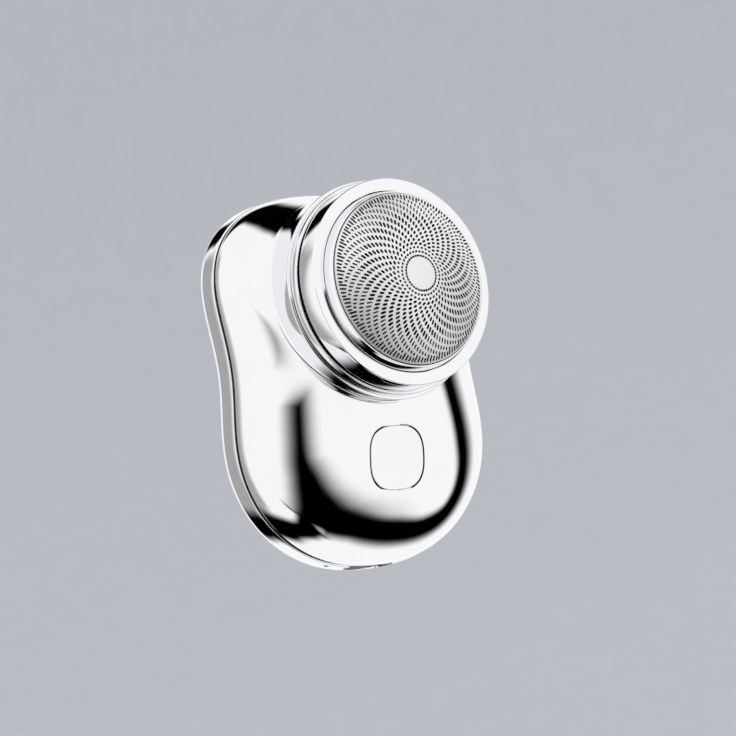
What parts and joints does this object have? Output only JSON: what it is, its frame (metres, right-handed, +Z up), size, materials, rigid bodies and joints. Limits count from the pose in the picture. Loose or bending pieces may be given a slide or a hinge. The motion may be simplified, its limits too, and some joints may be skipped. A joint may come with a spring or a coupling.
{
  "type": "rotary electric shaver",
  "caption": "Pocket rotary shaver: mirror-chrome pebble body, round pull-off cutting head with a domed foil, flush power button and charging socket.",
  "frame": {"origin": "middle of the flat on the back, where the shaver lies down", "axes": "+Z up along the body from the charging socket to the top, +Y out of the back, the head and button face -Y"},
  "size_m": [0.0486, 0.0306, 0.0632],
  "materials": {
    "mirror_chrome": "mirror-polished chrome plate",
    "seal_rubber": "black silicone, satin",
    "dark_plastic": "black moulded plastic",
    "pale_plastic": "off-white acetal",
    "foil_steel": "polished etched stainless foil",
    "blade_steel": "ground stainless",
    "motor_steel": "zinc-plated drawn steel",
    "screw_steel": "black-oxide steel",
    "magnet_nickel": "nickel-plated magnet",
    "socket_steel": "plain stainless",
    "cell_wrap": "blue shrink wrap",
    "circuit_board": "green solder mask",
    "lead_jacket": "red silicone jacket",
    "lamp_lens": "frosted clear light guide"
  },
  "bodies": {
    "body": {"front_shell": "mirror_chrome", "back_shell": "mirror_chrome", "collar_ring": "mirror_chrome", "shell_seal": "seal_rubber", "shaft_seal": "seal_rubber", "button_membrane": "seal_rubber", "motor_deck": "dark_plastic", "inner_frame": "dark_plastic", "button_switch": "dark_plastic", "motor_endcap": "dark_plastic", "motor_can": "motor_steel", "motor_screws": "screw_steel", "frame_screws": "screw_steel", "deck_magnets": "magnet_nickel", "usb_socket": "socket_steel", "battery_cell": "cell_wrap", "main_board": "circuit_board", "usb_board": "circuit_board", "motor_leads": "lead_jacket", "battery_leads": "lead_jacket", "charge_light": "lamp_lens"},
    "head": {"head_ring": "mirror_chrome", "foil_bezel": "mirror_chrome", "foil": "foil_steel", "hair_chamber": "dark_plastic", "keeper_ring": "blade_steel"},
    "cutter": {"cutter_hub": "pale_plastic", "cutter_blades": "blade_steel"},
    "drive": {"motor_armature": "motor_steel", "motor_shaft": "motor_steel", "drive_coupling": "pale_plastic", "cutter_spring": "blade_steel"},
    "button": {"power_button": "mirror_chrome"}
  },
  "joints": [
    {"name": "power_button_press", "type": "slide", "parent": "body", "child": "button", "axis": [0, 0.9874, 0.1583], "range_m": [0, 0.0005], "stiffness_N_per_m": 2000, "deforming": ["button_membrane"]},
    {"name": "head_release", "type": "slide", "parent": "body", "child": "head", "axis": [0, -0.9979, 0.0645], "range_m": [0, 0.02]},
    {"name": "drive_spin", "type": "hinge", "parent": "body", "child": "drive", "pos_m": [0, -0.0249, 0.0134], "axis": [0, -0.9979, 0.0645], "continuous": true},
    {"name": "cutter_spin", "type": "hinge", "parent": "head", "child": "cutter", "pos_m": [0, -0.0249, 0.0134], "axis": [0, -0.9979, 0.0645], "continuous": true}
  ],
  "couplings": [
    {"joint": "cutter_spin", "follows": "drive_spin", "ratio": 1}
  ]
}
